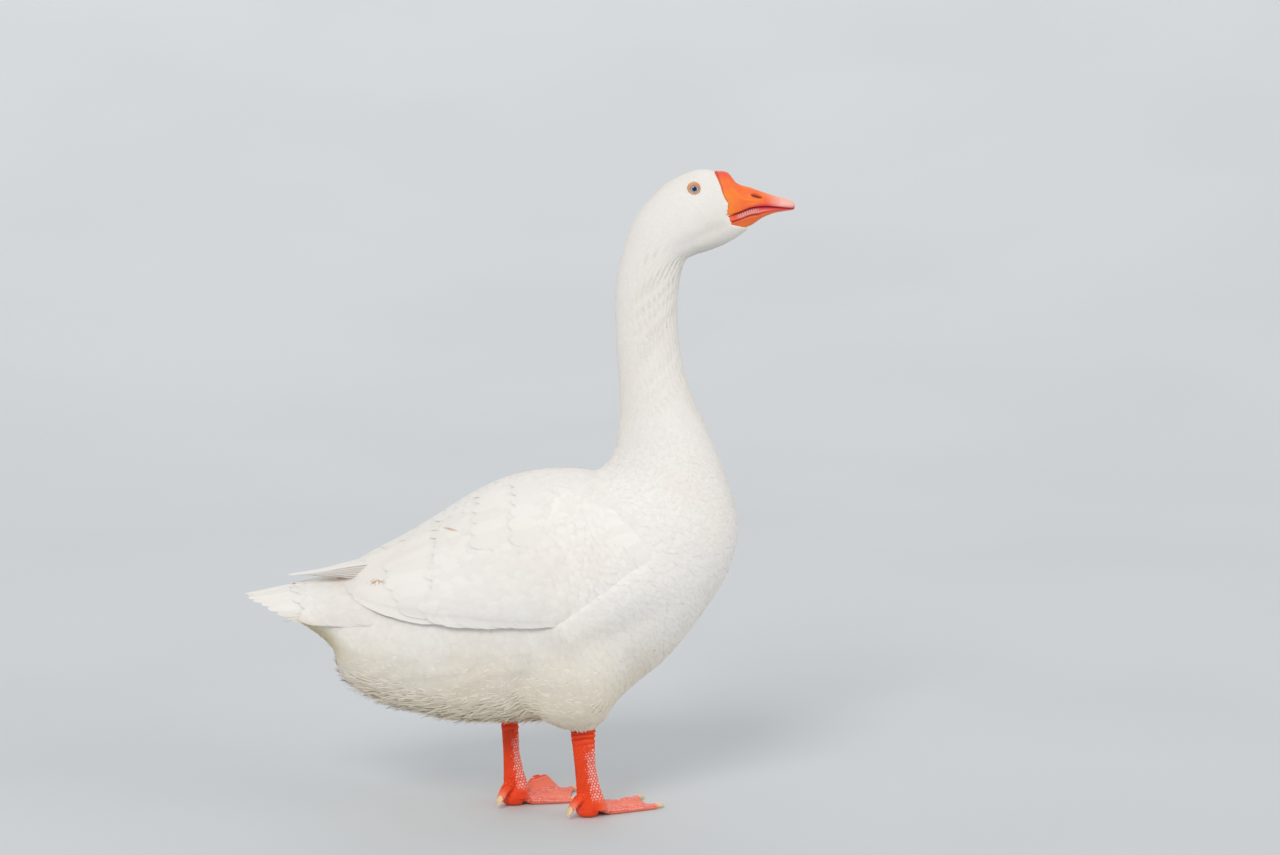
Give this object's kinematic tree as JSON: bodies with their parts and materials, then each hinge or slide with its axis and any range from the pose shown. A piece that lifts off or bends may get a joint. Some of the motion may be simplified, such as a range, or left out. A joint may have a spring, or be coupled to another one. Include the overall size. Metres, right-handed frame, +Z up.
{
  "type": "domestic goose",
  "caption": "Life-size still model of a white domestic goose that stands with its neck upright and its wings folded, on orange webbed feet.",
  "frame": {"origin": "on the floor, at the middle of the model's length and width", "axes": "+X the way the goose faces, +Y its left side, +Z up"},
  "size_m": [0.6198, 0.2448, 0.7301],
  "materials": {
    "plumage": "soft white feathers",
    "bill_horn": "satin orange horn",
    "nail_horn": "pale pink horn",
    "leg_skin": "scaly orange-red skin",
    "claw_horn": "cream horn",
    "eye": "wet and glossy"
  },
  "bodies": {
    "root": {"trunk": "plumage", "neck_lower": "plumage", "neck_upper": "plumage", "head": "plumage", "tail": "plumage", "wing_left": "plumage", "primaries_left": "plumage", "thigh_left": "plumage", "wing_right": "plumage", "primaries_right": "plumage", "thigh_right": "plumage", "bill_upper": "bill_horn", "bill_lower": "bill_horn", "bill_nail": "nail_horn", "leg_left": "leg_skin", "foot_left": "leg_skin", "eye_left": "eye", "claw_left_inner": "claw_horn", "claw_left_middle": "claw_horn", "claw_left_outer": "claw_horn", "claw_left_hind": "claw_horn", "leg_right": "leg_skin", "foot_right": "leg_skin", "eye_right": "eye", "claw_right_inner": "claw_horn", "claw_right_middle": "claw_horn", "claw_right_outer": "claw_horn", "claw_right_hind": "claw_horn"}
  },
  "joints": []
}
